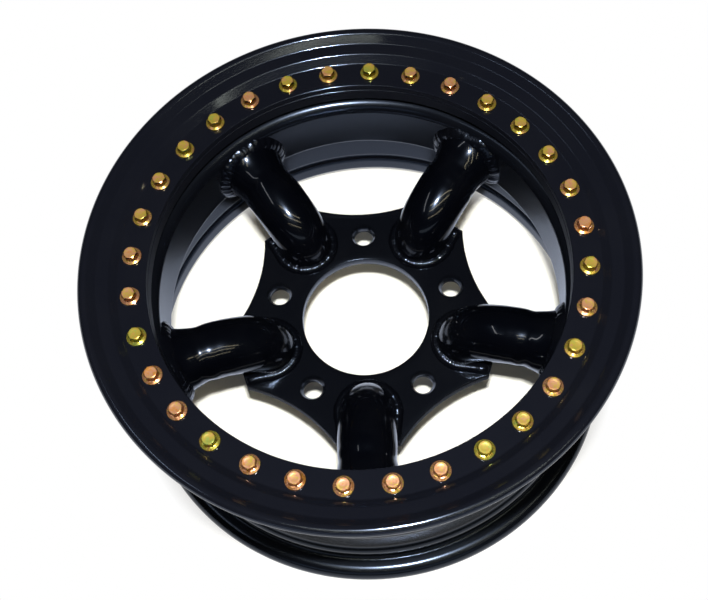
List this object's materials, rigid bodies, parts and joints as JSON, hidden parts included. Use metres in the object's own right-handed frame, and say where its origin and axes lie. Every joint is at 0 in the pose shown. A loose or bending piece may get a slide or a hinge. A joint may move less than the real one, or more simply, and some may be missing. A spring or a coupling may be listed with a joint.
{
  "type": "beadlock wheel",
  "caption": "Steel tube-spoke wheel with a drop-well barrel, a hub bore with lug holes, and a bolted outer ring that clamps the tyre bead.",
  "frame": {"origin": "centre of the hub bore on the mounting face of the centre plate", "axes": "+Z along the wheel's axis, out of the vehicle, from the mounting face to the clamp ring; one lug hole lies on +Y"},
  "size_m": [0.4518, 0.4518, 0.203],
  "materials": {
    "barrel_paint": "gloss black paint on rolled steel",
    "ring_paint": "satin gloss black paint on machined steel",
    "plate_paint": "gloss black paint on flame-cut plate",
    "tube_paint": "gloss black paint on bent tube",
    "weld_paint": "gloss black paint over rippled weld beads",
    "bolt_zinc": "yellow passivated zinc plating with an iridescent tint"
  },
  "bodies": {
    "root": {"rim_barrel": "barrel_paint", "inner_ring": "ring_paint", "ring_weld": "weld_paint", "clamp_ring": "ring_paint", "centre_plate": "plate_paint", "spoke_1": "tube_paint", "spoke_2": "tube_paint", "spoke_3": "tube_paint", "spoke_4": "tube_paint", "spoke_5": "tube_paint", "plate_weld_1": "weld_paint", "plate_weld_2": "weld_paint", "plate_weld_3": "weld_paint", "plate_weld_4": "weld_paint", "plate_weld_5": "weld_paint", "rim_weld_1": "weld_paint", "rim_weld_2": "weld_paint", "rim_weld_3": "weld_paint", "rim_weld_4": "weld_paint", "rim_weld_5": "weld_paint", "ring_bolts": "bolt_zinc"}
  },
  "joints": []
}
